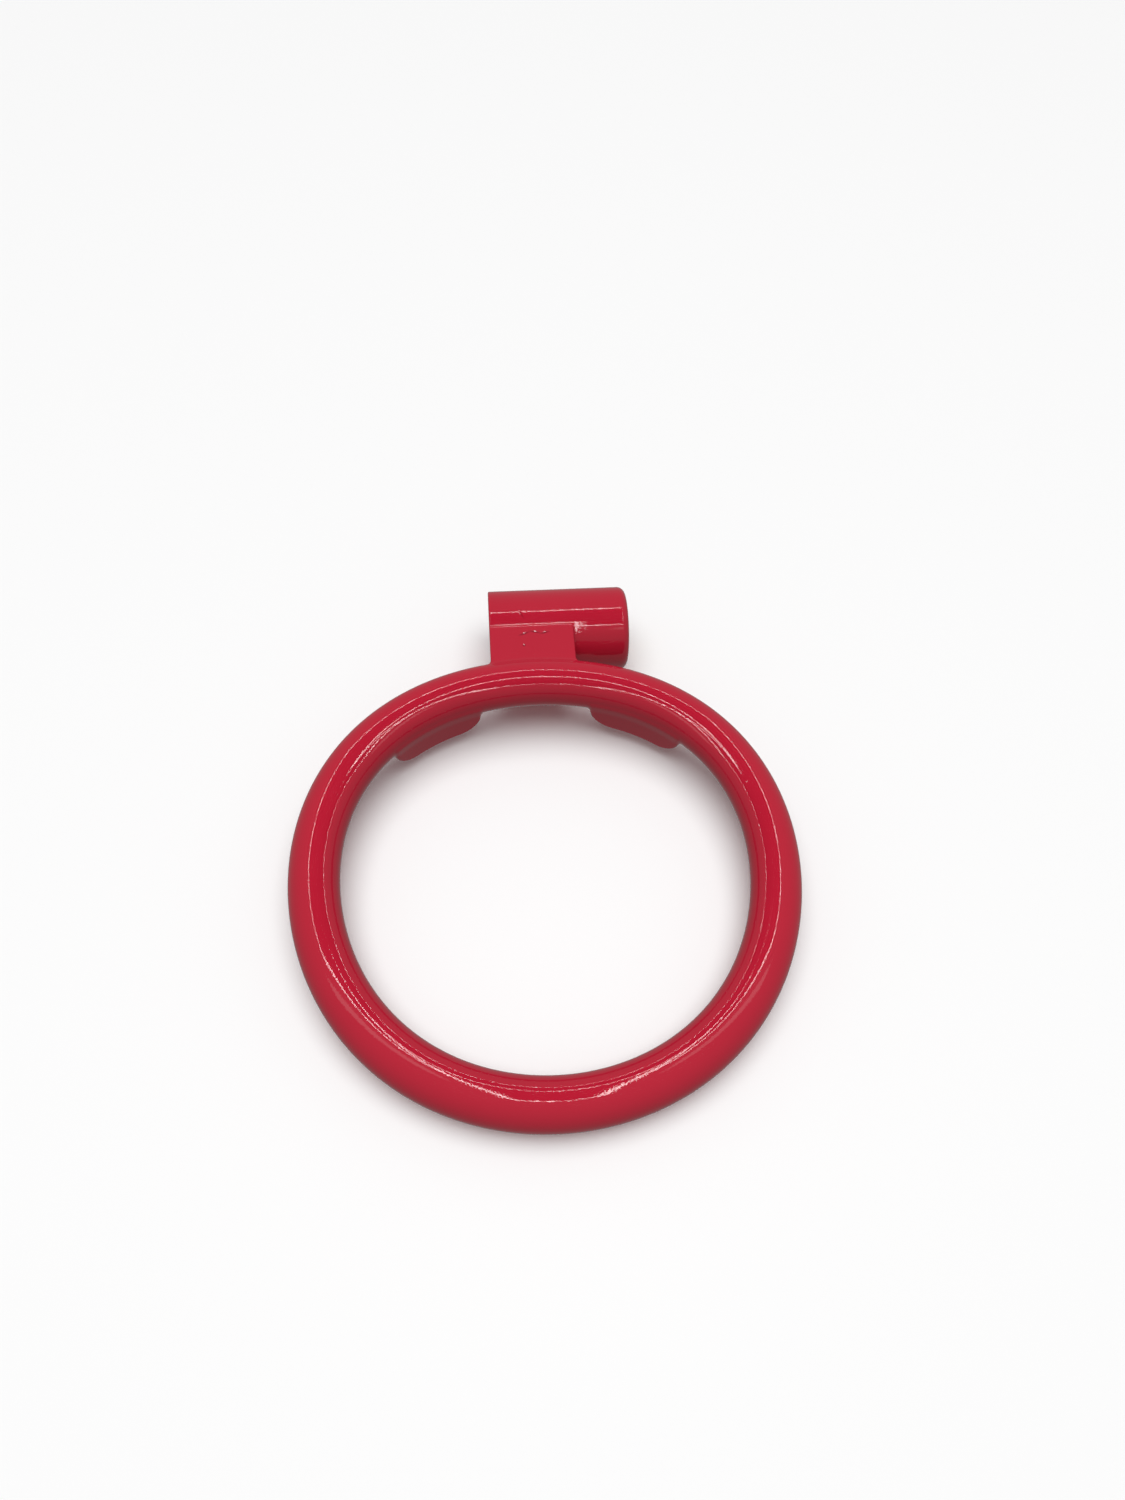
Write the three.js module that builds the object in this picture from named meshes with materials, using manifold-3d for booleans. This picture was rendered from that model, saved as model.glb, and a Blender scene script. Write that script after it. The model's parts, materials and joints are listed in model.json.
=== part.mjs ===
// A small locking base ring: a thick round-section hoop with a lock barrel standing behind it.
// The barrel holds a miniature wafer lock, whose plug turns a cam that pushes a pin out sideways.
//
// Ring frame, in millimetres: the hoop's centreline lies in the plane z = 0 around the origin,
// +Y points to the barrel, and the barrel's axis is parallel to X. The whole ring is tipped at the
// end, so that it lies on a table at z = 0 on its barrel and on the near side of its hoop.

import * as THREE from "three";
import { mergeVertices } from "three/addons/utils/BufferGeometryUtils.js";
import Module from "manifold-3d";

const wasm = await Module();
wasm.setup();

// ---- Driving dimensions ---------------------------------------------------------------------

const HOOP = {
  innerWidth: 45, // clear width inside, left to right: the ring's nominal size
  tubeRadius: 2.8,
  oval: 0.009, // share of the mean radius by which the hoop is wider than it is deep
  egg: 0.0108, // flattens the far side and brings the near side out
  square: -0.0072, // trims the four quarter points
};

const BARREL = {
  wall: 2.05, // around the lock's bore
  length: 17.4,
  drop: 2.8, // the axis lies this far below the hoop's plane
  hoopGap: 1.95, // clear space to the hoop, for the wall of a sleeve that slides over the barrel
  openEndFillet: 1.0,
  flushEndFillet: 0.3,
};

const WEB = {
  width: 10.4,
  thickness: 4.6,
  topStep: 0.45, // the web's top face lies this far under the barrel's crown
};

const FIN = {
  startAngle: 17.5, // degrees from +Y to the end near the web
  endAngle: 46.5,
  depth: 4.6, // below the hoop's plane
  thickness: 2.5,
  cornerRadius: 3,
};

const LOCK = {
  bore: 3.2, // radius of the hole in the barrel
  fit: 0.05, // clearance all round a piece that goes into a hole
  recess: 0.15, // the sleeve's face and the pin's tip sit this far inside the barrel's skin
  rearRoom: 0.7, // free length between the cam screw and the rear cap
};

const SLEEVE = {
  wall: 0.85,
  lip: 0.35, // how far the front lip stands in, to stop the plug
  lipLength: 0.6,
  grooveDepth: 0.45, // of the two grooves that the wafers spring out into
};

const PLUG = {
  length: 9.2, // of the part that carries the wafers
  neckStep: 1.05,
  neckLength: 0.8,
  tailFlat: 0.25, // depth of the flat that turns the cam
  faceMargin: 0.2, // metal left between the ends of the keyway and the rim of the face
};

const WAFER = {
  count: 5,
  endInset: 1.3, // from either end of the plug to the middle of the nearest wafer
  thickness: 0.5,
  cheek: 1.05, // plug metal on each side of a wafer
  frame: 0.7, // wafer metal on each side of its window
  windowMargin: 1.0, // wafer metal above and below its window
  tabMargin: 0.3, // from the end of the spring tab to the plug's skin
  tabHeight: 0.4,
  tabTop: 1.2,
};

const WAFER_SPRING = { coilRadius: 0.19, wireRadius: 0.055, turns: 4, height: 1.5 };

const CIRCLIP = { standIn: 0.55, bite: 0.2, thickness: 0.36, openingAngle: 60 };

const CAM = {
  thickness: 1.5,
  crestClearance: 0.1, // from the cam's crest to the sleeve
  wall: 0.45, // the least metal around the hole for the plug's tail
};

const PIN = {
  lift: 1.0, // travel over a quarter turn of the plug
  footRadius: 0.45,
  collarClearance: 0.2, // from the cam's crest to the collar, drawn in
  collarRadius: 1.1,
  collarThickness: 0.4,
  shaftRadius: 0.8,
  pocketRadius: 1.3, // the window in the sleeve and the spring's pocket in the barrel
};

const PIN_SPRING = { coilRadius: 1.05, wireRadius: 0.09, turns: 4 };

const DOWEL = { radius: 0.5, angle: -30, inset: 3.2, bite: 0.65 };

const SCREW = { headOverlap: 0.25, headHeight: 0.6, threadWall: 0.4, shankLength: 1.15, slot: 0.22 };

const CAP_THICKNESS = 0.8;

// ---- Places worked out from the dimensions ---------------------------------------------------

const FACETS = { tube: 18, hoop: 84, barrel: 48, small: 24, coilTurn: 9, halfWire: 3, lip: 8 };
const OVERCUT = 1; // how far a cutter runs past the surface that it opens

const meanRadius = (HOOP.innerWidth / 2 + HOOP.tubeRadius) / (1 + HOOP.oval + HOOP.square);

function hoopRadius(angle) {
  const shape = HOOP.oval * Math.cos(2 * angle)
    + HOOP.egg * Math.sin(3 * angle)
    + HOOP.square * Math.cos(4 * angle);
  return meanRadius * (1 + shape);
}

const farCentreY = hoopRadius(Math.PI / 2);
const nearCentreY = hoopRadius(-Math.PI / 2);
const barrelRadius = LOCK.bore + BARREL.wall;
const centreDistance = HOOP.tubeRadius + BARREL.hoopGap + barrelRadius;
const axisY = farCentreY + Math.sqrt(centreDistance ** 2 - BARREL.drop ** 2);
const axisZ = -BARREL.drop;
const flushEndX = -WEB.width / 2;
const openEndX = flushEndX + BARREL.length;
const webTop = axisZ + barrelRadius - WEB.topStep;

// Across the lock, from the bore inwards.
const sleeveRadius = LOCK.bore - LOCK.fit;
const sleeveInner = sleeveRadius - SLEEVE.wall;
const lipRadius = sleeveInner - SLEEVE.lip;
const plugRadius = sleeveInner - LOCK.fit;
const faceRadius = lipRadius - LOCK.fit;
const neckRadius = plugRadius - PLUG.neckStep;
const camCrest = sleeveInner - CAM.crestClearance;
const footReach = PIN.footRadius + LOCK.fit;
const footCentre = camCrest - PIN.lift + footReach;
const tailRadius = footCentre - footReach - CAM.wall - LOCK.fit;
const tailFlat = tailRadius - PLUG.tailFlat;
const shankRadius = tailRadius - SCREW.threadWall;
const waferHalf = plugRadius - WAFER.cheek;
const windowHalf = waferHalf - WAFER.frame;
const windowHalfHeight = plugRadius - WAFER.windowMargin;
const keywayHalf = windowHalf - LOCK.fit;
const keywayHalfHeight = faceRadius - PLUG.faceMargin;
const tabReach = plugRadius - WAFER.tabMargin;

// Along the lock, from the barrel's open end inwards.
const sleeveFaceX = openEndX - LOCK.recess;
const shoulderX = sleeveFaceX - SLEEVE.lipLength - LOCK.fit;
const plugRearX = shoulderX - PLUG.length;
const clipFrontX = plugRearX - LOCK.fit * 2;
const clipRearX = clipFrontX - CIRCLIP.thickness;
const camFrontX = plugRearX - PLUG.neckLength - LOCK.fit;
const camRearX = camFrontX - CAM.thickness;
const tailEndX = camRearX + LOCK.fit;
const headFrontX = camRearX - LOCK.fit;
const headRearX = headFrontX - SCREW.headHeight;
const sleeveRearX = headRearX - LOCK.rearRoom - CAP_THICKNESS;
const boreFloorX = sleeveRearX - LOCK.fit * 2;
const waferPitch = (PLUG.length - 2 * WAFER.endInset) / (WAFER.count - 1);
const waferSlot = WAFER.thickness + LOCK.fit * 2;

// Along the locking pin, outwards from the lock's axis. Drawn out, the collar just leaves room
// for the closed spring under the roof of its pocket.
const pinX = (camFrontX + camRearX) / 2;
const collarStart = camCrest + PIN.collarClearance;
const collarEnd = collarStart + PIN.collarThickness;
const pocketTop = collarEnd + PIN.lift + PIN_SPRING.turns * 2 * PIN_SPRING.wireRadius + LOCK.fit;
const tipReach = barrelRadius - LOCK.recess;
const dowelX = openEndX - DOWEL.inset;
const dowelSeat = sleeveRadius - DOWEL.bite;
const skinReach = barrelRadius + OVERCUT;

// ---- Solids ------------------------------------------------------------------------------------

// A closed three.js geometry becomes a solid: shared vertices merged, empty triangles dropped,
// and the faces turned outwards if the outline was drawn the other way round.
function solid(geometry) {
  const bare = geometry.clone();
  for (const name of Object.keys(bare.attributes)) {
    if (name !== "position") bare.deleteAttribute(name);
  }
  const merged = mergeVertices(bare, 1e-5);
  const points = merged.attributes.position;
  const corners = merged.index.array;
  const kept = [];
  const [a, b, c] = [new THREE.Vector3(), new THREE.Vector3(), new THREE.Vector3()];
  let volume = 0;
  for (let i = 0; i < corners.length; i += 3) {
    const [p, q, r] = corners.slice(i, i + 3);
    if (p === q || q === r || r === p) continue;
    kept.push(p, q, r);
    a.fromBufferAttribute(points, p);
    b.fromBufferAttribute(points, q);
    c.fromBufferAttribute(points, r);
    volume += a.dot(b.cross(c));
  }
  if (volume < 0) kept.reverse();
  return new wasm.Manifold(new wasm.Mesh({
    numProp: 3,
    vertProperties: new Float32Array(points.array),
    triVerts: new Uint32Array(kept),
  }));
}

function geometryOf(body) {
  const mesh = body.getMesh();
  const geometry = new THREE.BufferGeometry();
  geometry.setAttribute("position", new THREE.BufferAttribute(mesh.vertProperties, 3));
  geometry.setIndex(new THREE.BufferAttribute(mesh.triVerts, 1));
  geometry.computeVertexNormals();
  return geometry;
}

const ALONG_X = new THREE.Matrix4().makeRotationZ(-Math.PI / 2);
const SECTION_TO_X = new THREE.Matrix4().makeBasis(
  new THREE.Vector3(0, 1, 0),
  new THREE.Vector3(0, 0, 1),
  new THREE.Vector3(1, 0, 0),
);

// Turns [radius, height] pairs about the Y axis.
function turned(profile, facets = FACETS.small) {
  return new THREE.LatheGeometry(profile.map(([r, h]) => new THREE.Vector2(r, h)), facets);
}

// Turns [radius, x] pairs about the barrel's axis.
function turnedOnAxis(profile, facets = FACETS.small) {
  return turned(profile, facets).applyMatrix4(ALONG_X).translate(0, axisY, axisZ);
}

// A rod about the barrel's axis, from one x to another.
function rodOnAxis(radius, fromX, toX, facets = FACETS.small) {
  return solid(turnedOnAxis([[0, fromX], [radius, fromX], [radius, toX], [0, toX]], facets));
}

// A rod that stands out from the barrel's axis at the place x, in a direction of the YZ plane.
function rodAcross(radius, x, fromDistance, toDistance, degrees = 0) {
  const rod = turned([[0, fromDistance], [radius, fromDistance], [radius, toDistance], [0, toDistance]]);
  rod.rotateX(THREE.MathUtils.degToRad(degrees));
  return solid(rod.translate(x, axisY, axisZ));
}

// A block with its sides along the ring frame, between two corners given from the barrel's axis.
function block(low, high) {
  const size = high.map((value, i) => value - low[i]);
  const middle = high.map((value, i) => (value + low[i]) / 2);
  return solid(new THREE.BoxGeometry(...size).translate(middle[0], axisY + middle[1], axisZ + middle[2]));
}

// An outline in the barrel's YZ plane, made into a plate from one x to another.
function plateOnAxis(shape, fromX, toX) {
  const plate = new THREE.ExtrudeGeometry(shape, {
    depth: toX - fromX,
    bevelEnabled: false,
    curveSegments: FACETS.small,
  });
  return solid(plate.applyMatrix4(SECTION_TO_X).translate(fromX, axisY, axisZ));
}

// A round wire wound about the Y axis from height 0 upwards, whose end coils stay inside the height.
class Helix extends THREE.Curve {
  constructor({ coilRadius, wireRadius, turns, height }) {
    super();
    this.radius = coilRadius;
    this.turns = turns;
    this.start = wireRadius;
    this.rise = height - 2 * wireRadius;
  }

  getPoint(t, target = new THREE.Vector3()) {
    const angle = t * this.turns * 2 * Math.PI;
    return target.set(
      this.radius * Math.cos(angle),
      this.start + t * this.rise,
      this.radius * Math.sin(angle),
    );
  }
}

function coil(spring) {
  const wire = new THREE.Shape();
  wire.absarc(0, 0, spring.wireRadius, 0, 2 * Math.PI);
  return new THREE.ExtrudeGeometry(wire, {
    steps: spring.turns * FACETS.coilTurn,
    curveSegments: FACETS.halfWire,
    bevelEnabled: false,
    extrudePath: new Helix(spring),
  });
}

// ---- Ring body ---------------------------------------------------------------------------------

// A torus whose rings are pushed out or in to follow the hoop's slightly oval centreline.
function hoop() {
  const torus = new THREE.TorusGeometry(meanRadius, HOOP.tubeRadius, FACETS.tube, FACETS.hoop);
  const points = torus.attributes.position;
  for (let i = 0; i < points.count; i += 1) {
    const [x, y] = [points.getX(i), points.getY(i)];
    const angle = Math.atan2(y, x);
    const radius = Math.hypot(x, y) - meanRadius + hoopRadius(angle);
    points.setXY(i, radius * Math.cos(angle), radius * Math.sin(angle));
  }
  return solid(torus);
}

// Pairs of sine and cosine over a quarter turn, for rounding an edge of a profile.
function quarterArc(steps) {
  return Array.from({ length: steps + 1 }, (_, i) => {
    const turn = (i / steps) * Math.PI / 2;
    return [Math.sin(turn), Math.cos(turn)];
  });
}

function barrel() {
  const flush = BARREL.flushEndFillet;
  const open = BARREL.openEndFillet;
  const flushEdge = quarterArc(3).map(([sin, cos]) => [
    barrelRadius - flush + flush * sin, flushEndX + flush - flush * cos,
  ]);
  const openEdge = quarterArc(5).map(([sin, cos]) => [
    barrelRadius - open + open * cos, openEndX - open + open * sin,
  ]);
  const profile = [[0, flushEndX], ...flushEdge, ...openEdge, [0, openEndX]];
  return solid(turnedOnAxis(profile, FACETS.barrel));
}

// The flat block that carries the barrel, from inside the hoop's tube to the barrel's axis. Its
// near face lies midway between the hoop's centreline at the web's middle and at its sides.
function web() {
  const sideAngle = Math.acos(WEB.width / 2 / meanRadius);
  const sideCentreY = hoopRadius(sideAngle) * Math.sin(sideAngle);
  const startY = (farCentreY + sideCentreY) / 2;
  const low = [flushEndX, startY - axisY, webTop - WEB.thickness - axisZ];
  const high = [WEB.width / 2, 0, webTop - axisZ];
  return block(low, high);
}

// One of the two lips under the far side of the hoop, flush with the hoop's inner wall.
// side is -1 for the left one and 1 for the right one.
function fin(side) {
  const steps = 12;
  const inner = [];
  const outer = [];
  for (let i = 0; i <= steps; i += 1) {
    const fromY = FIN.startAngle + (FIN.endAngle - FIN.startAngle) * (i / steps);
    const angle = THREE.MathUtils.degToRad(90 - side * fromY);
    const radius = hoopRadius(angle) - HOOP.tubeRadius;
    inner.push(new THREE.Vector2(radius * Math.cos(angle), radius * Math.sin(angle)));
    const back = radius + FIN.thickness;
    outer.push(new THREE.Vector2(back * Math.cos(angle), back * Math.sin(angle)));
  }
  const wall = new THREE.ExtrudeGeometry(new THREE.Shape([...inner, ...outer.reverse()]), {
    depth: FIN.depth,
    bevelEnabled: false,
  }).translate(0, 0, -FIN.depth);

  // The elevation of the lip, seen along its middle radius, with its two lower corners rounded.
  const middle = THREE.MathUtils.degToRad(90 - side * (FIN.startAngle + FIN.endAngle) / 2);
  const halfSpan = THREE.MathUtils.degToRad((FIN.endAngle - FIN.startAngle) / 2);
  const half = (hoopRadius(middle) - HOOP.tubeRadius) * Math.sin(halfSpan);
  const corner = FIN.cornerRadius;
  const elevation = new THREE.Shape();
  elevation.moveTo(-half, OVERCUT);
  elevation.lineTo(-half, corner - FIN.depth);
  elevation.absarc(corner - half, corner - FIN.depth, corner, Math.PI, 1.5 * Math.PI);
  elevation.lineTo(half - corner, -FIN.depth);
  elevation.absarc(half - corner, corner - FIN.depth, corner, -Math.PI / 2, 0);
  elevation.lineTo(half, OVERCUT);
  const reach = 2 * meanRadius;
  const sight = new THREE.ExtrudeGeometry(elevation, {
    depth: reach,
    bevelEnabled: false,
    curveSegments: FACETS.lip,
  });
  sight.applyMatrix4(new THREE.Matrix4().makeBasis(
    new THREE.Vector3(-Math.sin(middle), Math.cos(middle), 0),
    new THREE.Vector3(0, 0, 1),
    new THREE.Vector3(Math.cos(middle), Math.sin(middle), 0),
  ));
  return solid(wall).intersect(solid(sight));
}

// One moulding: hoop, web, barrel and fins, with the lock's bore and the cross holes cut in.
function ringBody() {
  return hoop()
    .add(barrel())
    .add(web())
    .add(fin(-1))
    .add(fin(1))
    .subtract(rodOnAxis(LOCK.bore, boreFloorX, openEndX + OVERCUT, FACETS.barrel))
    .subtract(rodAcross(PIN.pocketRadius, pinX, 0, pocketTop))
    .subtract(rodAcross(PIN.shaftRadius + LOCK.fit, pinX, 0, skinReach))
    .subtract(rodAcross(DOWEL.radius + LOCK.fit, dowelX, 0, skinReach, DOWEL.angle));
}

// ---- Lock --------------------------------------------------------------------------------------

function lockSleeve() {
  const lipRearX = sleeveFaceX - SLEEVE.lipLength;
  const tube = solid(turnedOnAxis([
    [sleeveInner, sleeveRearX],
    [sleeveRadius, sleeveRearX],
    [sleeveRadius, sleeveFaceX],
    [lipRadius, sleeveFaceX],
    [lipRadius, lipRearX],
    [sleeveInner, lipRearX],
    [sleeveInner, sleeveRearX],
  ], FACETS.barrel));
  const clipGroove = rodOnAxis(
    sleeveInner + CIRCLIP.bite + LOCK.fit * 2,
    clipRearX - LOCK.fit,
    clipFrontX + LOCK.fit,
    FACETS.barrel,
  );
  const halfGroove = waferHalf + LOCK.fit * 2;
  const grooveReach = sleeveInner + SLEEVE.grooveDepth;
  const waferGrooves = block(
    [waferX(WAFER.count - 1) - WAFER.endInset / 2, -halfGroove, -grooveReach],
    [waferX(0) + WAFER.endInset / 2, halfGroove, grooveReach],
  );
  return tube
    .subtract(clipGroove)
    .subtract(waferGrooves)
    .subtract(rodAcross(PIN.pocketRadius, pinX, 0, LOCK.bore + OVERCUT))
    .subtract(rodAcross(DOWEL.radius + LOCK.fit, dowelX, dowelSeat, skinReach, DOWEL.angle));
}

function waferX(index) {
  return shoulderX - WAFER.endInset - index * waferPitch;
}

const tabBottom = WAFER.tabTop - WAFER.tabHeight;
const springSide = (waferHalf + tabReach) / 2;
const springFloor = tabBottom - LOCK.fit * 2 - WAFER_SPRING.height;

function lockPlug() {
  const core = solid(turnedOnAxis([
    [0, tailEndX],
    [tailRadius, tailEndX],
    [tailRadius, camFrontX],
    [neckRadius, camFrontX + LOCK.fit],
    [neckRadius, plugRearX],
    [plugRadius, plugRearX],
    [plugRadius, shoulderX],
    [faceRadius, shoulderX],
    [faceRadius, sleeveFaceX],
    [0, sleeveFaceX],
  ], FACETS.barrel));
  const flat = block(
    [tailEndX - OVERCUT, -neckRadius, tailFlat],
    [camFrontX, neckRadius, neckRadius],
  );
  const thread = rodOnAxis(
    shankRadius + LOCK.fit, tailEndX - OVERCUT, camRearX + SCREW.shankLength + LOCK.fit,
  );
  const keyway = block(
    [waferX(WAFER.count - 1) - WAFER.endInset / 2, -keywayHalf, -keywayHalfHeight],
    [sleeveFaceX + OVERCUT, keywayHalf, keywayHalfHeight],
  );
  let plug = core.subtract(flat).subtract(thread).subtract(keyway);
  const slotHalf = waferHalf + LOCK.fit;
  const slotReach = plugRadius + OVERCUT;
  for (let i = 0; i < WAFER.count; i += 1) {
    const fromX = waferX(i) - waferSlot / 2;
    const toX = waferX(i) + waferSlot / 2;
    const springPocket = block(
      [fromX, 0, springFloor - LOCK.fit],
      [toX, tabReach + LOCK.fit, slotReach],
    );
    plug = plug
      .subtract(block([fromX, -slotHalf, -slotReach], [toX, slotHalf, slotReach]))
      .subtract(springPocket);
  }
  return plug;
}

// A thin plate with a window for the key and a tab to one side, where its spring pushes.
function wafer(index) {
  const fromX = waferX(index) - WAFER.thickness / 2;
  const toX = waferX(index) + WAFER.thickness / 2;
  const tab = block([fromX, 0, tabBottom], [toX, tabReach, WAFER.tabTop]);
  const round = rodOnAxis(plugRadius - LOCK.fit, fromX - OVERCUT, toX + OVERCUT, FACETS.barrel);
  const window = block(
    [fromX - OVERCUT, -windowHalf, -windowHalfHeight],
    [toX + OVERCUT, windowHalf, windowHalfHeight],
  );
  return block([fromX, -waferHalf, -plugRadius], [toX, waferHalf, plugRadius])
    .add(tab)
    .intersect(round)
    .subtract(window);
}

function waferSpring(index) {
  const wound = coil(WAFER_SPRING);
  wound.rotateX(Math.PI / 2);
  return solid(wound.translate(waferX(index), axisY + springSide, axisZ + springFloor));
}

function plugCirclip() {
  const from = THREE.MathUtils.degToRad(CIRCLIP.openingAngle / 2);
  const to = 2 * Math.PI - from;
  const outline = new THREE.Shape();
  outline.absarc(0, 0, sleeveInner + CIRCLIP.bite, from, to, false);
  outline.absarc(0, 0, sleeveInner - CIRCLIP.standIn, to, from, true);
  outline.closePath();
  return plateOnAxis(outline, clipRearX, clipFrontX);
}

// The cam's radius at an angle of the YZ plane, with the plug at rest. The round foot meets it at
// angle zero; as the plug turns, the foot sees the angles from 0 down to a quarter turn, and its
// centre moves out in step. The surface is what that moving foot leaves, so the two never cut in.
function camRadius(angle) {
  const positions = 60;
  const quarterTurn = Math.PI / 2;
  let radius = Infinity;
  for (let i = 0; i <= positions; i += 1) {
    const share = i / positions;
    const bearing = angle + share * quarterTurn;
    const centre = footCentre + PIN.lift * share;
    const across = centre * Math.sin(bearing);
    if (Math.cos(bearing) <= 0 || Math.abs(across) >= footReach) continue;
    const near = centre * Math.cos(bearing) - Math.sqrt(footReach ** 2 - across ** 2);
    radius = Math.min(radius, near);
  }
  const heel = tailRadius + LOCK.fit + CAM.wall * 0.8;
  return radius === Infinity ? heel : Math.min(radius, camCrest);
}

function lockCam() {
  const points = 90;
  const outline = new THREE.Shape();
  for (let i = 0; i < points; i += 1) {
    const angle = (i / points) * 2 * Math.PI - Math.PI;
    const radius = camRadius(angle);
    const corner = [radius * Math.cos(angle), radius * Math.sin(angle)];
    if (i === 0) outline.moveTo(...corner);
    else outline.lineTo(...corner);
  }
  outline.closePath();
  const hole = tailRadius + LOCK.fit;
  const flatAngle = Math.asin((tailFlat + LOCK.fit) / hole);
  const seat = new THREE.Path();
  seat.absarc(0, 0, hole, Math.PI - flatAngle, 2 * Math.PI + flatAngle, false);
  seat.closePath();
  outline.holes.push(seat);
  return plateOnAxis(outline, camRearX, camFrontX);
}

function camScrew() {
  const headRadius = tailRadius + SCREW.headOverlap;
  const shankEndX = camRearX + SCREW.shankLength;
  const blank = solid(turnedOnAxis([
    [0, headRearX],
    [headRadius, headRearX],
    [headRadius, headFrontX],
    [shankRadius, headFrontX],
    [shankRadius, shankEndX],
    [0, shankEndX],
  ]));
  return blank.subtract(block(
    [headRearX - OVERCUT, -headRadius - OVERCUT, -SCREW.slot / 2],
    [headRearX + SCREW.slot, headRadius + OVERCUT, SCREW.slot / 2],
  ));
}

function lockingPin() {
  const foot = PIN.footRadius;
  const chamfer = PIN.shaftRadius / 4;
  const roundEnd = quarterArc(5).map(([sin, cos]) => [foot * sin, footCentre - foot * cos]);
  return solid(turned([
    ...roundEnd,
    [foot, collarStart],
    [PIN.collarRadius, collarStart],
    [PIN.collarRadius, collarEnd],
    [PIN.shaftRadius, collarEnd],
    [PIN.shaftRadius, tipReach - chamfer],
    [PIN.shaftRadius - chamfer, tipReach],
    [0, tipReach],
  ]).translate(pinX, axisY, axisZ));
}

function pinSpring() {
  const start = collarEnd + LOCK.fit;
  const height = pocketTop - LOCK.fit - start;
  return solid(coil({ ...PIN_SPRING, height }).translate(pinX, axisY + start, axisZ));
}

function rearCap() {
  const radius = sleeveInner - LOCK.fit;
  const chamfer = CAP_THICKNESS / 4;
  return solid(turnedOnAxis([
    [0, sleeveRearX],
    [radius - chamfer, sleeveRearX],
    [radius, sleeveRearX + chamfer],
    [radius, sleeveRearX + CAP_THICKNESS],
    [0, sleeveRearX + CAP_THICKNESS],
  ]));
}

function sleeveDowel() {
  return rodAcross(DOWEL.radius, dowelX, dowelSeat + LOCK.fit, tipReach, DOWEL.angle);
}

// ---- Assembly ----------------------------------------------------------------------------------

const FINISH = {
  redPlastic: { color: 0xb62c3e, roughness: 0.16, metalness: 0 },
  brass: { color: 0xc7a252, roughness: 0.32, metalness: 1 },
  steel: { color: 0xb9bcc0, roughness: 0.28, metalness: 1 },
  springSteel: { color: 0x8e9299, roughness: 0.35, metalness: 1 },
};

const ring = new THREE.Group();

function place(name, body, finish) {
  const mesh = new THREE.Mesh(geometryOf(body), new THREE.MeshStandardMaterial(FINISH[finish]));
  mesh.name = name;
  ring.add(mesh);
}

place("ring_body", ringBody(), "redPlastic");
place("lock_sleeve", lockSleeve(), "brass");
place("lock_plug", lockPlug(), "brass");
for (let i = 0; i < WAFER.count; i += 1) {
  place(`wafer_${i + 1}`, wafer(i), "brass");
  place(`wafer_spring_${i + 1}`, waferSpring(i), "springSteel");
}
place("plug_circlip", plugCirclip(), "springSteel");
place("lock_cam", lockCam(), "steel");
place("cam_screw", camScrew(), "steel");
place("locking_pin", lockingPin(), "steel");
place("pin_spring", pinSpring(), "springSteel");
place("rear_cap", rearCap(), "brass");
place("sleeve_dowel", sleeveDowel(), "steel");

// At rest the barrel and the near side of the hoop touch the table: the tilt brings the lowest
// points of those two round sections to one height.
const span = Math.hypot(axisY + nearCentreY, axisZ);
const restTilt = Math.asin((barrelRadius - HOOP.tubeRadius) / span)
  + Math.atan2(BARREL.drop, axisY + nearCentreY);
ring.rotation.x = restTilt;

const lockRing = new THREE.Group();
lockRing.add(ring);
lockRing.updateMatrixWorld(true);
const extent = new THREE.Box3().setFromObject(lockRing, true);
const middle = extent.getCenter(new THREE.Vector3());
ring.position.set(-middle.x, -middle.y, -extent.min.z);
lockRing.updateMatrixWorld(true);

export default lockRing;
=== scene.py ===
# %% [markdown]
# # A small red locking ring
#
# The object is one glossy red moulding: a thick round hoop, and behind it a short barrel that is
# carried on a flat web. Inside the barrel sits a miniature brass lock. The sizes and places of
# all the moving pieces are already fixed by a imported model, which this lesson loads first. The
# lesson then makes the surfaces a person sees, their materials, and the light around them.

# %% Load the fixed frame
import json
import math

import bpy
import numpy as np
from mathutils import Matrix, Vector


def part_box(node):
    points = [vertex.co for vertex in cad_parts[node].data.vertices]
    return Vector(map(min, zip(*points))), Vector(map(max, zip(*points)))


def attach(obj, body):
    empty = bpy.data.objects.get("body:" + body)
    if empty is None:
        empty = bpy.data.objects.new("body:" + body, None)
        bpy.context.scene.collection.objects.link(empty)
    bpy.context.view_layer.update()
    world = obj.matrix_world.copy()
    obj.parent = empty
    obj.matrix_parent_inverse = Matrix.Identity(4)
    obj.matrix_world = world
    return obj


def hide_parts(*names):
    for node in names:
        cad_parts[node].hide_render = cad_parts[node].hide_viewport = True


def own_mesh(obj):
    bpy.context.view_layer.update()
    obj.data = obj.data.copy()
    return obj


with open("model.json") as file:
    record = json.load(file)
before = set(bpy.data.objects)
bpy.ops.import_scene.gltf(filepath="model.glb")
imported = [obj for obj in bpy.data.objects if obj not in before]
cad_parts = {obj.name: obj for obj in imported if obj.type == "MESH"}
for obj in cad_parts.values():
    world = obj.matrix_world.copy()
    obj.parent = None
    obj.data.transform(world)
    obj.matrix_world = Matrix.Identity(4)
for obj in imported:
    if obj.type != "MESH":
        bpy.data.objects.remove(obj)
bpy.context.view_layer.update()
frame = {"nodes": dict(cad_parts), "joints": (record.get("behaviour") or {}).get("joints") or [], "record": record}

# %% [markdown]
# ## The ring's own frame
#
# The hoop lies at a slight tilt, because it rests on the fat barrel at one side and on its own
# thin edge at the other. It is far easier to describe in its own frame, where the hoop is flat
# and centred on zero. The pin slides along that frame's Y axis, so the slide joint gives the tilt,
# and the plug's hinge gives the place of the barrel's axis.

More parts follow.
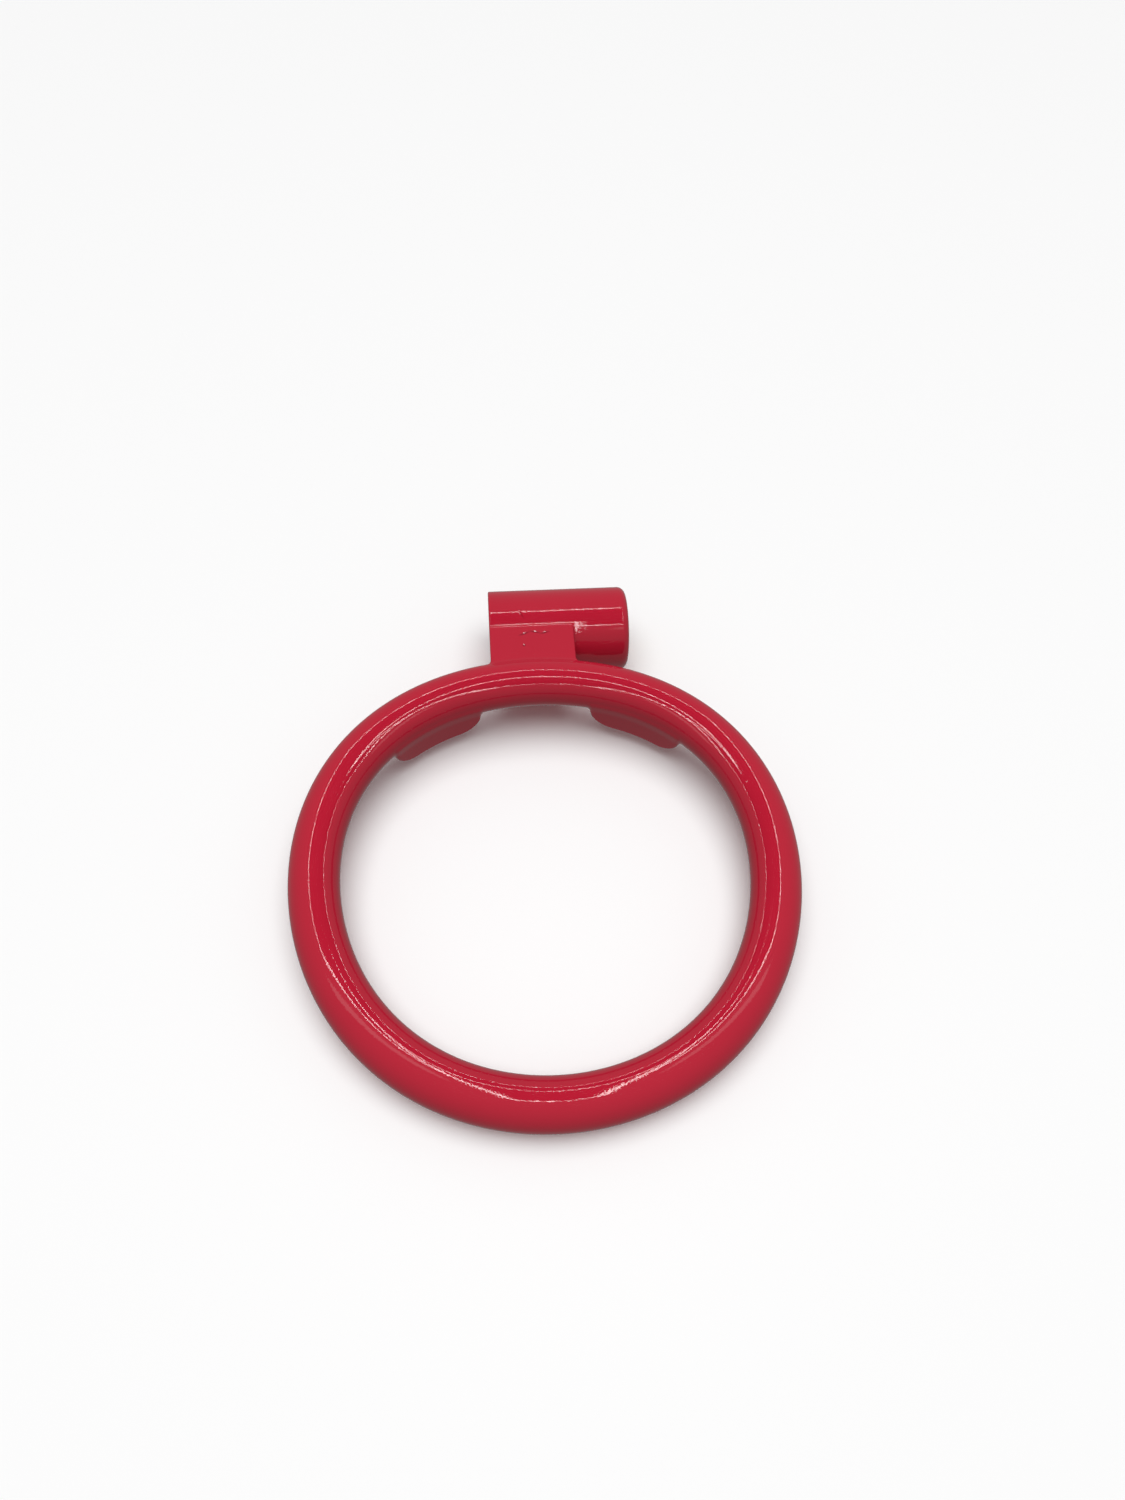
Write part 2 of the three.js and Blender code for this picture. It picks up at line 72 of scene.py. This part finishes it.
# %% The ring frame, in millimetres
MM = 0.001
joints = {joint["name"]: joint for joint in frame["joints"]}
pin_axis = Vector(joints["locking_pin_slide"]["axis"])
tilt = math.atan2(pin_axis.z, pin_axis.y)
axis_point = Vector(joints["plug_turn"]["pos_m"]) / MM

TUBE = 2.8
INNER_WIDTH = 45.0
OVAL, EGG, SQUARE = 0.009, 0.0108, -0.0072
MEAN = (INNER_WIDTH / 2 + TUBE) / (1 + OVAL + SQUARE)


def hoop_radius(angle):
    """The hoop's centreline as a distance from its middle: nearly a circle, a little oval."""
    return MEAN * (
        1 + OVAL * np.cos(2 * angle) + EGG * np.sin(3 * angle) + SQUARE * np.cos(4 * angle)
    )


BARREL_R = 5.25
BARREL_DROP = 2.8
BARREL_GAP = 1.95
APART = TUBE + BARREL_GAP + BARREL_R
AXIS_Y = hoop_radius(math.pi / 2) + math.sqrt(APART ** 2 - BARREL_DROP ** 2)
AXIS_Z = -BARREL_DROP

turn = Matrix.Rotation(tilt, 4, "X")
ring_to_row = Matrix.Translation(axis_point - turn @ Vector((0, AXIS_Y, AXIS_Z))) @ turn
print(f"tilt {math.degrees(tilt):.2f} degrees, barrel axis at y {AXIS_Y:.2f} mm")

# %% [markdown]
# ## The moulding as a distance field
#
# The real ring comes out of one mould, so its faces run into each other through small fillets.
# Joining separate shapes with booleans leaves hard seams that then need bevels. A distance field
# is simpler here: one function says how far any point is from the surface, and joining two
# shapes with a soft minimum gives a fillet of a chosen size at once.

# %% Distance helpers
def soft_min(a, b, blend):
    """The smaller of two distances, rounded off over the length blend."""
    mix = np.clip(0.5 + 0.5 * (b - a) / blend, 0, 1)
    return b + (a - b) * mix - blend * mix * (1 - mix)


def soft_max(a, b, blend):
    return -soft_min(-a, -b, blend)


def rounded(parts, radius):
    """Distance to a shape bounded by several faces, with its edges rounded to the radius."""
    stack = np.stack([part + radius for part in parts])
    outside = np.sqrt((np.maximum(stack, 0) ** 2).sum(0))
    return outside + np.minimum(stack.max(0), 0) - radius


# %% Hoop
def hoop_distance(p):
    angle = np.arctan2(p[:, 1], p[:, 0])
    return np.hypot(np.hypot(p[:, 0], p[:, 1]) - hoop_radius(angle), p[:, 2]) - TUBE


# %% [markdown]
# ## Barrel and web
#
# The barrel is a plain cylinder. Its left end is cut flat and flush with the web, and its right end
# has a rounded rim that leads the mating sleeve on. The web is a flat block a little lower than
# the barrel's crown, so a fine step shows where they meet.

# %% Barrel and web
WEB_HALF = 5.2
FLUSH_X, OPEN_X = -WEB_HALF, 12.2
WEB_STEP, WEB_THICKNESS = 0.58, 4.6
WEB_TOP = AXIS_Z + BARREL_R - WEB_STEP
WEB_BOTTOM = WEB_TOP - WEB_THICKNESS
WEB_BURIED, WEB_EDGE = 0.3, 0.22
FLUSH_EDGE, RIM_EDGE = 0.25, 1.0


def barrel_distance(p):
    out = np.hypot(p[:, 1] - AXIS_Y, p[:, 2] - AXIS_Z) - BARREL_R
    flush = rounded([out, FLUSH_X - p[:, 0]], FLUSH_EDGE)
    rim = rounded([out, p[:, 0] - OPEN_X], RIM_EDGE)
    return np.maximum(flush, rim)


def web_distance(p):
    near_y = hoop_radius(math.pi / 2) - WEB_BURIED
    sides = [FLUSH_X - p[:, 0], p[:, 0] - WEB_HALF, WEB_BOTTOM - p[:, 2], p[:, 2] - WEB_TOP]
    ends = [near_y - p[:, 1], p[:, 1] - AXIS_Y]
    return rounded(sides + ends, WEB_EDGE)


# %% [markdown]
# ## The two lips
#
# Under the far side of the hoop hang two low lips. Their inner faces continue the hoop's inner
# wall, and their lower corners are well rounded, as they touch skin. Each is described by the
# distance along the hoop, the distance from its centreline, and the height.

# %% Lips
LIP_START, LIP_END = math.radians(17.5), math.radians(46.5)
LIP_DEPTH, LIP_THICKNESS = 4.6, 2.5
LIP_CORNER, LIP_EDGE = 3.0, 0.35


def lip_distance(p, side):
    angle = np.arctan2(p[:, 1], p[:, 0])
    middle = math.pi / 2 - side * (LIP_START + LIP_END) / 2
    radius = hoop_radius(angle)
    along = (angle - middle + math.pi) % (2 * math.pi) - math.pi
    along = along * (radius - TUBE)
    half = (LIP_END - LIP_START) / 2 * (MEAN - TUBE)
    elevation = rounded([np.abs(along) - half, -LIP_DEPTH - p[:, 2]], LIP_CORNER)
    from_wall = np.hypot(p[:, 0], p[:, 1]) - (radius - TUBE)
    return rounded([elevation, -from_wall, from_wall - LIP_THICKNESS, p[:, 2]], LIP_EDGE)


# %% [markdown]
# ## Holes
#
# The lock goes into a blind bore from the right. Two small holes cross it: one for the locking pin,
# which comes out at the far side, and one for the dowel that keeps the lock in. The pin's hole is
# wider inside, as a pocket for its spring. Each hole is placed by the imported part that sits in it.

# %% Holes
sleeve_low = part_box("lock_sleeve")[0] / MM
pin_low, pin_high = [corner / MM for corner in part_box("locking_pin")]
dowel_low, dowel_high = [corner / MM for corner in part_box("sleeve_dowel")]
PIN_X = (pin_low.x + pin_high.x) / 2
DOWEL_X = (dowel_low.x + dowel_high.x) / 2
DOWEL_ANGLE = math.radians(-30)
BORE_R, BORE_SPARE = 3.2, 0.1
LEAD_IN, LEAD_IN_START = 0.3, 0.35
PIN_HOLE_R, DOWEL_HOLE_R = 0.85, 0.55
POCKET_R, POCKET_TOP = 1.3, 4.57
OUTSIDE = BARREL_R + 1


def cross_hole(p, x, angle, radius, reach):
    y, z = p[:, 1] - AXIS_Y, p[:, 2] - AXIS_Z
    outward = y * math.cos(angle) + z * math.sin(angle)
    aside = -y * math.sin(angle) + z * math.cos(angle)
    wall = np.hypot(p[:, 0] - x, aside) - radius
    return rounded([wall, -outward, outward - reach], 0.05)


def holes_distance(p):
    out = np.hypot(p[:, 1] - AXIS_Y, p[:, 2] - AXIS_Z)
    floor_x = sleeve_low.x - BORE_SPARE
    bore = rounded([out - BORE_R, floor_x - p[:, 0]], 0.1)
    lead_in = out - BORE_R - np.maximum(p[:, 0] - (OPEN_X - LEAD_IN), 0)
    bore = np.minimum(bore, np.maximum(lead_in, OPEN_X - LEAD_IN_START - p[:, 0]))
    through = cross_hole(p, PIN_X, 0, PIN_HOLE_R, OUTSIDE)
    pocket = cross_hole(p, PIN_X, 0, POCKET_R, POCKET_TOP)
    dowel = cross_hole(p, DOWEL_X, DOWEL_ANGLE, DOWEL_HOLE_R, OUTSIDE)
    return np.minimum.reduce([bore, through, pocket, dowel])


# %% [markdown]
# ## One skin for the whole moulding
#
# The plain model's flat facets cut every curve a little short, by up to a hundredth of a
# millimetre. The true curve would stand that much outside its box, so the skin is drawn in by
# just over that amount.

# %% The whole moulding
INSET = 0.012
BARREL_FILLET, FLUSH_FILLET, HEAD_FILLET, LIP_FILLET, HOLE_FILLET = 0.06, 0.1, 0.4, 0.5, 0.12


def moulding_distance(p):
    head = soft_min(barrel_distance(p), web_distance(p), BARREL_FILLET)
    head = soft_max(head, FLUSH_X - p[:, 0], FLUSH_FILLET)
    solid = soft_min(hoop_distance(p), head, HEAD_FILLET)
    for side in (-1, 1):
        solid = soft_min(solid, lip_distance(p, side), LIP_FILLET)
    return soft_max(solid + INSET, -holes_distance(p), HOLE_FILLET)


def gradient(distance, p, step=1e-3):
    slopes = []
    for i in range(3):
        shift = np.zeros(3)
        shift[i] = step
        slopes.append((distance(p + shift) - distance(p - shift)) / (2 * step))
    return np.stack(slopes, 1)


# %% [markdown]
# ## From the field to a mesh
#
# A voxel remesh of the plain model gives an even skin of small quads. It only needs to be near the
# right place: every vertex then slides down the field's slope onto the true surface. Between
# two such steps the vertices are spread out evenly. At the end the field's slope is also the exact
# surface normal, so reflections stay smooth however small the triangles are.

# %% Remesh and settle the moulding
VOXEL = 0.2
FLATTEST_SLOPE, LONGEST_STEP = 0.05, 0.4


def apply_modifiers(obj):
    """Bakes the modifiers of a piece into its mesh."""
    depsgraph = bpy.context.evaluated_depsgraph_get()
    mesh = bpy.data.meshes.new_from_object(obj.evaluated_get(depsgraph))
    obj.modifiers.clear()
    obj.data = mesh
    return obj


def points_of(mesh):
    flat = np.empty(len(mesh.vertices) * 3)
    mesh.vertices.foreach_get("co", flat)
    return flat.reshape(-1, 3)


def settle(p, distance, steps=3):
    for _ in range(steps):
        slope = gradient(distance, p)
        size = np.maximum((slope ** 2).sum(1), FLATTEST_SLOPE)
        step = np.clip(distance(p) / size, -LONGEST_STEP, LONGEST_STEP)
        p = p - slope * step[:, None]
    return p


def spread(p, edges):
    """Moves each vertex to the middle of its neighbours."""
    total = np.zeros_like(p)
    count = np.zeros(len(p))
    for a, b in (edges.T, edges.T[::-1]):
        np.add.at(total, a, p[b])
        np.add.at(count, a, 1)
    return total / count[:, None]


def make_moulding():
    mesh = frame["nodes"]["ring_body"].data.copy()
    body = bpy.data.objects.new("ring_moulding", mesh)
    bpy.context.scene.collection.objects.link(body)
    mesh.transform(ring_to_row.inverted() @ Matrix.Scale(1 / MM, 4))
    remesh = body.modifiers.new("skin", "REMESH")
    remesh.mode = "VOXEL"
    remesh.voxel_size = VOXEL
    apply_modifiers(body)
    mesh = body.data
    edges = np.empty(len(mesh.edges) * 2, int)
    mesh.edges.foreach_get("vertices", edges)
    edges = edges.reshape(-1, 2)
    p = settle(points_of(mesh), moulding_distance)
    for _ in range(3):
        p = settle(0.5 * (p + spread(p, edges)), moulding_distance, 1)
    p = settle(p, moulding_distance, 2)
    error = np.abs(moulding_distance(p))
    normals = gradient(moulding_distance, p)
    normals /= np.linalg.norm(normals, axis=1)[:, None]
    mesh.vertices.foreach_set("co", p.ravel())
    mesh.transform(Matrix.Scale(MM, 4) @ ring_to_row)
    mesh.shade_smooth()
    rotation = np.array(ring_to_row.to_3x3())
    mesh.normals_split_custom_set_from_vertices((normals @ rotation.T).tolist())
    print(f"moulding: {len(mesh.polygons)} faces, largest miss {error.max():.3f} mm")
    return body


moulding = make_moulding()
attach(moulding, "ring")
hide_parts("ring_body")

# %% [markdown]
# ## Node helper and colours
#
# Every material below is a small network of nodes. One function adds a node, fills its settings and
# links its inputs. Colours are written as the sRGB hex values that a colour picker shows, and one
# function turns them into the linear numbers that light is added up in.

# %% Node and colour helpers
def linear(hex_colour):
    channels = [int(hex_colour[i:i + 2], 16) / 255 for i in (1, 3, 5)]
    return [c / 12.92 if c <= 0.04045 else ((c + 0.055) / 1.055) ** 2.4 for c in channels] + [1.0]


def add_node(tree, kind, settings=None, **inputs):
    """Adds a node, sets its properties, and fills or links its inputs by name."""
    node = tree.nodes.new(kind)
    for name, value in (settings or {}).items():
        setattr(node, name, value)
    for name, value in inputs.items():
        key = int(name[1:]) if name[0] == "_" else name.replace("_", " ")
        socket = node.inputs[key]
        if isinstance(value, bpy.types.NodeSocket):
            tree.links.new(value, socket)
        else:
            socket.default_value = value
    return node


def new_material(name):
    material = bpy.data.materials.new(name)
    material.use_nodes = True
    tree = material.node_tree
    tree.nodes.clear()
    shader = add_node(tree, "ShaderNodeBsdfPrincipled")
    output = add_node(tree, "ShaderNodeOutputMaterial", Surface=shader.outputs[0])
    output.name = "output"
    place = add_node(tree, "ShaderNodeTexCoord").outputs["Object"]
    return material, tree, shader, place


# %% [markdown]
# ## Red moulded plastic
#
# Injection-moulded gloss plastic copies the polish of its mould. It is a dyed body under a clear
# skin of the same stuff, so the colour comes from inside and the highlights stay white. Up close
# the skin is never optically flat: shrinkage leaves a faint waviness a fraction of a millimetre
# across, which is what makes the edges of a reflection tremble. Three small faults of the mould sit
# on the web and barrel: a wavy flow mark where two fronts of melt met, a pinhole, and a scratch.
# Each is a stretched ball of influence that dents the skin and darkens the base colour there as painted shade of
# the dent.

# %% Red moulded plastic
# Each mark: name, middle (x, y), turn in degrees, half length and half width.
WEB_MARKS = [
    ("flow mark", (-0.9, 30.55), 20, (0.95, 0.20)),
    ("flow mark", (0.4, 30.75), -14, (0.95, 0.20)),
    ("flow mark", (1.6, 30.6), 16, (0.80, 0.20)),
    ("pinhole", (-1.0, 28.8), 0, (0.25, 0.25)),
    ("scratch", (-1.2, 33.2), -62, (0.95, 0.16)),
]
MARK_DEPTH = 0.02
MARK_HALF_HEIGHT = 1.0
SHADE_PATCH, HAZE_PATCH, RIPPLE, RIPPLE_HEIGHT = 9, 2.5, 0.24, 0.005


def gloss_red_plastic():
    material, tree, shader, place = new_material("gloss_red_moulded_plastic")
    cloud = add_node(
        tree, "ShaderNodeTexNoise", Vector=place, Scale=1 / (SHADE_PATCH * MM), Detail=3.0, Roughness=0.55,
    )
    tint = add_node(
        tree, "ShaderNodeMix", {"data_type": "RGBA"},
        Factor=cloud.outputs["Fac"], _6=linear("#b81c33"), _7=linear("#be1f36"),
    )
    haze = add_node(
        tree, "ShaderNodeTexNoise", Vector=place, Scale=1 / (HAZE_PATCH * MM), Detail=4.0, Roughness=0.6,
    )
    polish = add_node(
        tree, "ShaderNodeMapRange", Value=haze.outputs["Fac"],
        From_Min=0.3, From_Max=0.7, To_Min=0.03, To_Max=0.06,
    )
    tree.links.new(polish.outputs[0], shader.inputs["Roughness"])
    ripple = add_node(
        tree, "ShaderNodeTexNoise", Vector=place, Scale=1 / (RIPPLE * MM), Detail=1.0, Roughness=0.5,
    )
    bump = add_node(
        tree, "ShaderNodeBump", Height=ripple.outputs["Fac"], Strength=1.0, Distance=RIPPLE_HEIGHT * MM,
    )
    # The marks' mask drives both the real dents and the painted shade in the base colour.
    mark_dents_and_painted_shade = 0.0
    for name, (x, y), angle, (length, width) in WEB_MARKS:
        near = add_node(
            tree, "ShaderNodeMapping", {"vector_type": "TEXTURE", "label": name}, Vector=place,
            Location=ring_to_row @ Vector((x, y, WEB_TOP)) * MM,
            Rotation=(0, 0, math.radians(angle)),
            Scale=(length * MM, width * MM, MARK_HALF_HEIGHT * MM),
        )
        blob = add_node(
            tree, "ShaderNodeTexGradient", {"gradient_type": "SPHERICAL"}, Vector=near.outputs[0],
        )
        mark_dents_and_painted_shade = add_node(
            tree, "ShaderNodeMath", {"operation": "MAXIMUM"}, _0=mark_dents_and_painted_shade, _1=blob.outputs["Fac"],
        ).outputs[0]
    # Painted shade: the marks darken the base colour, standing in for the shade that falls in their dents.
    painted_mark_shade = add_node(
        tree, "ShaderNodeMix", {"data_type": "RGBA"},
        Factor=mark_dents_and_painted_shade, _6=tint.outputs[2], _7=linear("#7a1222"),
    )
    tree.links.new(painted_mark_shade.outputs[2], shader.inputs["Base Color"])
    dent = add_node(
        tree, "ShaderNodeBump", {"invert": True}, Height=mark_dents_and_painted_shade, Normal=bump.outputs[0],
        Strength=1.0, Distance=MARK_DEPTH * MM,
    )
    tree.links.new(dent.outputs[0], shader.inputs["Normal"])
    shader.inputs["IOR"].default_value = 1.5
    return material


red_plastic = gloss_red_plastic()
moulding.data.materials.clear()
moulding.data.materials.append(red_plastic)
print("red plastic on", moulding.name)

# %% [markdown]
# ## Brass and steel of the lock
#
# The lock's round parts are turned on a lathe. The tool leaves fine rings: circles on an end face,
# and threads along a side. Both are drawn here around the barrel's own axis, a little coarser
# than real ones so that they still show. Brass darkens unevenly where it is handled, so a slow
# noise shifts its tone and its roughness together. The wafers are really stamped from sheet and
# the springs drawn as wire. They sit deep inside, so they use the same recipe with coarser marks.

# %% Turned metals
def wave_scale(period):
    """The setting at which a wave texture repeats once in this many millimetres."""
    return 2 * math.pi / (20 * period * MM)


def turned_metal(name, bright, dark, rough, period):
    material, tree, shader, place = new_material(name)
    from_axis = add_node(
        tree, "ShaderNodeVectorMath", {"operation": "SUBTRACT"}, _0=place, _1=axis_point * MM,
    ).outputs[0]
    stain = add_node(
        tree, "ShaderNodeTexNoise", Vector=place, Scale=1 / (1.2 * MM), Detail=4.0, Roughness=0.6,
    )
    tone = add_node(
        tree, "ShaderNodeMix", {"data_type": "RGBA"},
        Factor=stain.outputs["Fac"], _6=linear(bright), _7=linear(dark),
    )
    tree.links.new(tone.outputs[2], shader.inputs["Base Color"])
    circles = add_node(
        tree, "ShaderNodeTexWave", {"wave_type": "RINGS", "rings_direction": "X"},
        Vector=from_axis, Scale=wave_scale(period), Distortion=0.8, Detail=2.0,
    )
    threads = add_node(
        tree, "ShaderNodeTexWave", {"bands_direction": "X"},
        Vector=place, Scale=wave_scale(period), Distortion=0.8, Detail=2.0,
    )
    grooves = add_node(
        tree, "ShaderNodeMath", {"operation": "ADD"},
        _0=circles.outputs["Fac"], _1=threads.outputs["Fac"],
    )
    bump = add_node(
        tree, "ShaderNodeBump", Height=grooves.outputs[0], Strength=0.5, Distance=0.004 * MM,
    )
    tree.links.new(bump.outputs[0], shader.inputs["Normal"])
    worn = add_node(
        tree, "ShaderNodeMapRange", Value=stain.outputs["Fac"],
        From_Min=0.3, From_Max=0.7, To_Min=rough, To_Max=rough + 0.12,
    )
    tree.links.new(worn.outputs[0], shader.inputs["Roughness"])
    shader.inputs["Metallic"].default_value = 1.0
    return material


FINISHES = {
    "brass": turned_metal("turned_brass", "#f2d080", "#d9b060", 0.24, 0.16),
    "wafer_brass": turned_metal("stamped_brass", "#ebcb7e", "#cda75a", 0.3, 0.3),
    "steel": turned_metal("turned_steel", "#cfd2d5", "#a6aaaf", 0.2, 0.12),
    "spring_steel": turned_metal("drawn_spring_steel", "#a0a4aa", "#74787e", 0.28, 0.2),
}
slots = {part["node"]: part["material_slot"] for part in frame["record"]["subparts"]}

# %% [markdown]
# ## Breaking the edges of the lock parts
#
# No turned part has a knife edge: the lathe hand files a narrow chamfer on each one, and it catches
# the light as a fine bright line. The parts that show at the surface get such a chamfer of a few
# hundredths of a millimetre. The parts deep inside keep their plain shape.

# %% Chamfered lock parts
BODY_OF = {}
for body_name, members in frame["record"]["behaviour"]["bodies"].items():
    BODY_OF.update({node: body_name for node in members})


def chamfered(node, width):
    """A finer copy of a plain part, with its sharp edges broken."""
    mesh = frame["nodes"][node].data.copy()
    part = bpy.data.objects.new(f"{node}_fine", mesh)
    bpy.context.scene.collection.objects.link(part)
    weld = part.modifiers.new("weld", "WELD")
    weld.merge_threshold = 0.001 * MM
    edge = part.modifiers.new("edge", "BEVEL")
    edge.width = width * MM
    edge.segments = 2
    edge.limit_method = "ANGLE"
    edge.angle_limit = math.radians(40)
    edge.use_clamp_overlap = True
    apply_modifiers(part)
    part.data.shade_smooth()
    part.data.set_sharp_from_angle(angle=math.radians(38))
    part.data.materials.clear()
    part.data.materials.append(FINISHES[slots[node]])
    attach(part, BODY_OF[node])
    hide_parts(node)
    print(f"{part.name}: {len(part.data.polygons)} faces")
    return part


CHAMFERS = {"lock_plug": 0.05, "lock_sleeve": 0.06, "locking_pin": 0.08, "sleeve_dowel": 0.06}
for node, width in CHAMFERS.items():
    chamfered(node, width)

# %% [markdown]
# ## The spring behind the pin
#
# As the pin goes out it presses its spring together, and the spring's outer end stays against the
# bottom of its pocket. Here the spring is a finer, smoothly shaded copy of the plain part that
# rides with its body; its outer end along the pin's axis is found, but the coil is not made to shorten.

# %% Pin spring
def pin_spring():
    mesh = frame["nodes"]["pin_spring"].data.copy()
    spring = bpy.data.objects.new("pin_spring_fine", mesh)
    bpy.context.scene.collection.objects.link(spring)
    weld = spring.modifiers.new("weld", "WELD")
    weld.merge_threshold = 0.001 * MM
    apply_modifiers(spring)
    spring.data.shade_smooth()
    spring.data.materials.clear()
    spring.data.materials.append(FINISHES[slots["pin_spring"]])
    reach = points_of(spring.data) @ np.array(pin_axis)
    anchor = points_of(spring.data)[reach.argmax()]
    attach(spring, BODY_OF["pin_spring"])
    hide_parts("pin_spring")
    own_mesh(spring)


pin_spring()

# %% Finishes of the plain inner parts
INNER = [
    name for name in frame["nodes"] if name not in ("ring_body", "pin_spring") and name not in CHAMFERS
]
for name in INNER:
    frame["nodes"][name].data.materials.clear()
    frame["nodes"][name].data.materials.append(FINISHES[slots[name]])
print("plain inner parts finished:", len(INNER))

# %% [markdown]
# ## Table
#
# The ring lies on a plain white table in a pale room. The table is one large flat sheet.

# %% Table
TABLE_HALF = 1.5


def make_table():
    mesh = bpy.data.meshes.new("table")
    sides = [(-1, -1), (1, -1), (1, 1), (-1, 1)]
    corners = [(x * TABLE_HALF, y * TABLE_HALF, 0) for x, y in sides]
    mesh.from_pydata(corners, [], [(0, 1, 2, 3)])
    table = bpy.data.objects.new("table", mesh)
    bpy.context.scene.collection.objects.link(table)
    material, tree, shader, place = new_material("white_acrylic_sheet")
    shader.inputs["Base Color"].default_value = linear("#fbfbfb")
    shader.inputs["Roughness"].default_value = 0.6
    mesh.materials.append(material)
    table.visible_glossy = False
    table.visible_diffuse = False
    return table


make_table()

# %% [markdown]
# ## Room and soft light
#
# The room is brighter to the camera than it is as a light. That keeps the background pale while the
# red stays deep. For the same reason the table lights nothing: it is hidden from the gloss and
# from bounced light. The main light is a very wide sun, like a large diffuser, so its shadow is
# soft, and the gloss doesn't see it as a disc.

# %% Room and soft light
ROOM_LIGHT, ROOM_SEEN = 0.3, 0.93
SOFT_WHITE, SOFT_SPREAD = 0.73, 58

world = bpy.data.worlds.new("pale_room")
bpy.context.scene.world = world
world.use_nodes = True
sky = world.node_tree
seen = add_node(sky, "ShaderNodeLightPath").outputs["Is Camera Ray"]
strength = add_node(
    sky, "ShaderNodeMapRange", Value=seen, From_Min=0.0, From_Max=1.0,
    To_Min=ROOM_LIGHT, To_Max=ROOM_SEEN,
)
sky.links.new(strength.outputs[0], sky.nodes["Background"].inputs["Strength"])
sky.nodes["Background"].inputs["Color"].default_value = linear("#ffffff")

soft = bpy.data.lights.new("soft_light", "SUN")
soft.energy = SOFT_WHITE * math.pi
soft.angle = math.radians(SOFT_SPREAD)
soft_light = bpy.data.objects.new("soft_light", soft)
soft_light.visible_glossy = False
bpy.context.scene.collection.objects.link(soft_light)


# %% [markdown]
# ## Lamps that only the gloss sees
#
# A broad light alone leaves gloss looking dull. So two plain rectangular frames of thin tubes hang
# above, each on a black backing card, with a dim soft panel on either side. A tube shows on a round
# surface as a fine line, and the card behind it keeps the red beside the line deep.

# %% Lamp helpers
GLOW = 17.0
SOFT_GLOW = 1.3
CARD_BEHIND = 0.5


def panel(name, left, right, near, far, height, glow):
    """A level rectangle that only the gloss sees: bright for a lamp, black for a backing card."""
    mesh = bpy.data.meshes.new(name)
    corners = [(left, near), (right, near), (right, far), (left, far)]
    mesh.from_pydata([Vector((x, y, height)) * MM for x, y in corners], [], [(0, 1, 2, 3)])
    card = bpy.data.objects.new(name, mesh)
    bpy.context.scene.collection.objects.link(card)
    material = bpy.data.materials.new(name)
    material.use_nodes = True
    tree = material.node_tree
    tree.nodes.clear()
    light = add_node(tree, "ShaderNodeEmission", Color=(1, 1, 1, 1), Strength=glow)
    add_node(tree, "ShaderNodeOutputMaterial", Surface=light.outputs[0])
    mesh.materials.append(material)
    card.visible_camera = False
    card.visible_diffuse = False
    card.visible_shadow = False
    return card


def tube_frame(name, left, right, near, far, height, width):
    """Four thin tubes around a black backing card that hangs just behind them."""
    panel(f"{name}_card", left, right, near, far, height + CARD_BEHIND, 0.0)
    panel(f"{name}_left", left, left + width, near, far, height, GLOW)
    panel(f"{name}_right", right - width, right, near, far, height, GLOW)
    panel(f"{name}_near", left, right, near, near + width, height, GLOW)
    panel(f"{name}_far", left, right, far - width, far, height, GLOW)


# %% Two tube frames and two soft panels
LAMP_HEIGHT = 60
TUBE_WIDTH = 1.4
NEAR_FRAME = {"left": -8, "right": 10, "near": -36, "far": 9}
FAR_FRAME = {"left": -40, "right": 38, "near": -5, "far": 43}
LEFT_PANEL = {"left": -60, "right": -15, "near": -24, "far": -15}
RIGHT_PANEL = {"left": 18, "right": 60, "near": -25, "far": -16}

tube_frame("near_frame", **NEAR_FRAME, height=LAMP_HEIGHT - 1, width=TUBE_WIDTH)
tube_frame("far_frame", **FAR_FRAME, height=LAMP_HEIGHT, width=TUBE_WIDTH)
panel("left_panel", **LEFT_PANEL, height=LAMP_HEIGHT, glow=SOFT_GLOW)
panel("right_panel", **RIGHT_PANEL, height=LAMP_HEIGHT, glow=SOFT_GLOW)
print("lamps at", LAMP_HEIGHT, "mm, tubes", TUBE_WIDTH, "mm wide")

# %% [markdown]
# ## Camera
#
# A phone camera, close up: a wide lens only some 13 cm away, which is why the near side of the hoop
# looks so much thicker than the far side. It looks down at about 55 degrees, turned a little to the
# right, and is held slightly crooked.

# %% Camera
LENS = 26.0
SENSOR = 36.0
EYE = Vector((-4.513, -63.006, 110.197))
FORWARD = Vector((0.05749, 0.56913, -0.82024)).normalized()
RIGHT = Vector((0.99729, -0.07048, 0.02100)).normalized()

camera = bpy.data.cameras.new("camera")
camera.sensor_fit = "VERTICAL"
camera.sensor_height = SENSOR
camera.lens = LENS
camera.clip_start = 1 * MM
up = RIGHT.cross(FORWARD)
holder = bpy.data.objects.new("camera", camera)
bpy.context.scene.collection.objects.link(holder)
facing = Matrix((RIGHT, up, -FORWARD)).transposed().to_4x4()
holder.matrix_world = Matrix.Translation(EYE * MM) @ facing
bpy.context.scene.camera = holder
bpy.context.scene.view_settings.view_transform = "Standard"
